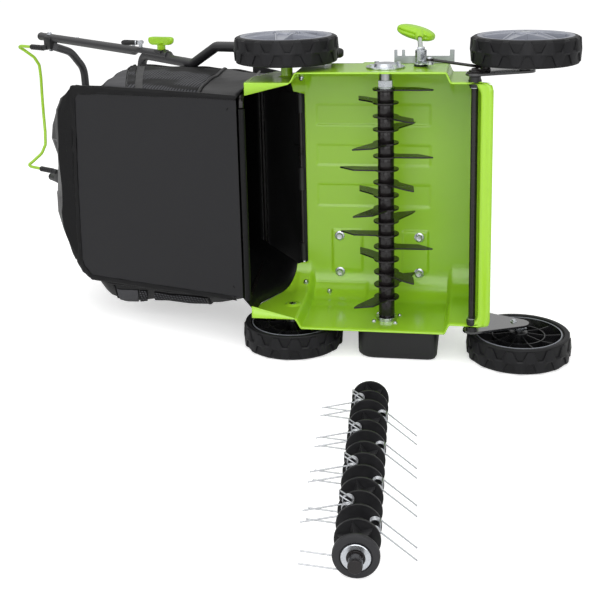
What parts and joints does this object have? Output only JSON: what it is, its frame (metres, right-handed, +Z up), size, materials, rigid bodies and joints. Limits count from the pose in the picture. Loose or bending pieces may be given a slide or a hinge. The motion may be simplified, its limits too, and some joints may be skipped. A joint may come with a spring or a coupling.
{
  "type": "lawn scarifier",
  "caption": "Electric lawn scarifier on its side: knife rotor in a pressed deck, wheels on a crank axle, depth lever, folding handle, catcher bag and a spare tine reel.",
  "frame": {"origin": "on the floor under the rotor's axis, on the drive cover's flat outer face", "axes": "+X towards the machine's front, +Y towards the machine's top, +Z up, towards its right wheels: it lies on its left side as in the picture, and a turn of 90 degrees about X stands it on its wheels"},
  "size_m": [1.2871, 1.5925, 0.5329],
  "materials": {
    "green_enamel": "glossy",
    "green_plastic": "satin",
    "black_plastic": "satin",
    "black_steel": "satin",
    "bare_steel": "brushed",
    "zinc": "bright",
    "rubber": "matt",
    "tyre": "matt",
    "rim_grey": "satin",
    "fabric": "woven",
    "panel": "satin",
    "dark_tube": "satin"
  },
  "bodies": {
    "chassis": {"deck_shell": "green_enamel", "motor_body": "bare_steel", "motor_hood": "black_plastic", "drive_cover": "black_plastic", "drive_belt": "rubber", "bearing_left": "zinc", "bearing_right": "zinc", "bearing_flange": "zinc", "rear_axle_left": "zinc", "rear_axle_right": "zinc", "handle_bracket_left": "black_steel", "handle_bracket_right": "black_steel", "lower_handle": "dark_tube", "notch_bracket": "zinc", "cable_lower": "rubber"},
    "rotor": {"rotor_shaft": "bare_steel", "rotor_pulley": "bare_steel", "knife_stack": "black_steel", "rotor_nut": "zinc"},
    "motor_rotor": {"motor_shaft": "bare_steel", "motor_pulley": "bare_steel"},
    "rear_wheel_right": {"tyre_rear_right": "tyre", "rim_rear_right": "rim_grey"},
    "rear_wheel_left": {"tyre_rear_left": "tyre", "rim_rear_left": "rim_grey"},
    "front_axle": {"front_axle_rod": "black_steel", "crank_arm_right": "black_steel", "crank_arm_left": "black_steel"},
    "front_wheel_right": {"tyre_front_right": "tyre", "rim_front_right": "rim_grey"},
    "front_wheel_left": {"tyre_front_left": "tyre", "rim_front_left": "rim_grey"},
    "depth_control": {"depth_lever": "zinc", "depth_grip": "green_plastic"},
    "push_rod": {"push_rod": "black_steel"},
    "rear_flap": {"rear_flap": "black_plastic"},
    "catcher_bag": {"bag_fabric": "fabric", "bag_panel": "panel", "bag_frame": "black_steel"},
    "upper_handle": {"upper_tube_right": "dark_tube", "upper_tube_left": "dark_tube", "grip_bow": "dark_tube", "switch_housing": "black_plastic", "cable_upper": "rubber"},
    "start_button": {"start_button": "green_plastic"},
    "bail": {"bail_bar": "green_plastic"},
    "wing_knob_right": {"wing_knob_right": "green_plastic"},
    "wing_knob_left": {"wing_knob_left": "green_plastic"},
    "cam_lever_right": {"cam_lever_right": "black_plastic"},
    "cam_lever_left": {"cam_lever_left": "black_plastic"},
    "spare_reel": {"reel_shaft": "bare_steel", "reel_roller": "black_plastic", "reel_spring_left_1": "zinc", "reel_spring_left_2": "zinc", "reel_spring_left_3": "zinc", "reel_spring_left_4": "zinc", "reel_spring_right_1": "zinc", "reel_spring_right_2": "zinc", "reel_spring_right_3": "zinc", "reel_spring_right_4": "zinc"}
  },
  "joints": [
    {"name": "rotor_spin", "type": "hinge", "parent": "chassis", "child": "rotor", "pos_m": [0, 0, 0.2639], "axis": [0, 0, 1], "continuous": true},
    {"name": "motor_spin", "type": "hinge", "parent": "chassis", "child": "motor_rotor", "pos_m": [-0.022, 0.172, 0.2639], "axis": [0, 0, 1], "continuous": true},
    {"name": "rear_wheel_right_spin", "type": "hinge", "parent": "chassis", "child": "rear_wheel_right", "pos_m": [-0.161, 0.011, 0.5063], "axis": [0, 0, 1], "continuous": true},
    {"name": "rear_wheel_left_spin", "type": "hinge", "parent": "chassis", "child": "rear_wheel_left", "pos_m": [-0.161, 0.011, 0.0215], "axis": [0, 0, 1], "continuous": true},
    {"name": "front_axle_swing", "type": "hinge", "parent": "chassis", "child": "front_axle", "pos_m": [0.1405, -0.042, 0.2639], "axis": [0, 0, 1], "range_deg": [-6.2, 14.5]},
    {"name": "front_wheel_right_spin", "type": "hinge", "parent": "front_axle", "child": "front_wheel_right", "pos_m": [0.2165, -0.005, 0.5063], "axis": [0, 0, 1], "continuous": true},
    {"name": "front_wheel_left_spin", "type": "hinge", "parent": "front_axle", "child": "front_wheel_left", "pos_m": [0.2165, -0.005, 0.0215], "axis": [0, 0, 1], "continuous": true},
    {"name": "depth_lever_swing", "type": "hinge", "parent": "chassis", "child": "depth_control", "pos_m": [0.055, 0.018, 0.4889], "axis": [0, 0, 1], "range_deg": [-14, 6]},
    {"name": "push_rod_pivot", "type": "hinge", "parent": "depth_control", "child": "push_rod", "pos_m": [0.0705, -0.012, 0.4902], "axis": [0, 0, 1], "range_deg": [-8.3, 19.3]},
    {"name": "rear_flap_lift", "type": "hinge", "parent": "chassis", "child": "rear_flap", "pos_m": [-0.1585, 0.12, 0.2639], "axis": [0, 0, 1], "range_deg": [-43, 0], "stiffness_Nm_per_rad": 0.3, "springref_deg": 8.59},
    {"name": "bag_pull_off", "type": "slide", "parent": "chassis", "child": "catcher_bag", "axis": [-1, 0, 0], "range_m": [0, 0.15]},
    {"name": "handle_fold", "type": "hinge", "parent": "chassis", "child": "upper_handle", "pos_m": [-0.4905, 0.4088, 0.2639], "axis": [0, 0, 1], "range_deg": [-126, 0]},
    {"name": "start_button_press", "type": "slide", "parent": "upper_handle", "child": "start_button", "axis": [0, -1, 0], "range_m": [0, 0.003], "stiffness_N_per_m": 400, "springref_m": -0.001},
    {"name": "bail_squeeze", "type": "hinge", "parent": "upper_handle", "child": "bail", "pos_m": [-0.907, 0.788, 0.2639], "axis": [0, 0, 1], "range_deg": [-50, 0], "stiffness_Nm_per_rad": 0.8, "springref_deg": 8.59},
    {"name": "wing_knob_right_turn", "type": "hinge", "parent": "upper_handle", "child": "wing_knob_right", "pos_m": [-0.4905, 0.4088, 0.4639], "axis": [0, 0, 1], "continuous": true},
    {"name": "wing_knob_left_turn", "type": "hinge", "parent": "upper_handle", "child": "wing_knob_left", "pos_m": [-0.4905, 0.4088, 0.0639], "axis": [0, 0, 1], "continuous": true},
    {"name": "cam_lever_right_open", "type": "hinge", "parent": "upper_handle", "child": "cam_lever_right", "pos_m": [-0.5539, 0.4709, 0.4644], "axis": [0, 1, 0], "range_deg": [0, 100]},
    {"name": "cam_lever_left_open", "type": "hinge", "parent": "upper_handle", "child": "cam_lever_left", "pos_m": [-0.5539, 0.4709, 0.0634], "axis": [0, -1, 0], "range_deg": [0, 100]},
    {"name": "spare_reel_lift", "type": "slide", "parent": "chassis", "child": "spare_reel", "axis": [0, 0, 1], "range_m": [0, 0.1]}
  ],
  "couplings": [
    {"joint": "motor_spin", "follows": "rotor_spin", "ratio": 2},
    {"joint": "front_axle_swing", "follows": "depth_lever_swing", "ratio": -1.03},
    {"joint": "push_rod_pivot", "follows": "depth_lever_swing", "ratio": -1.37}
  ]
}
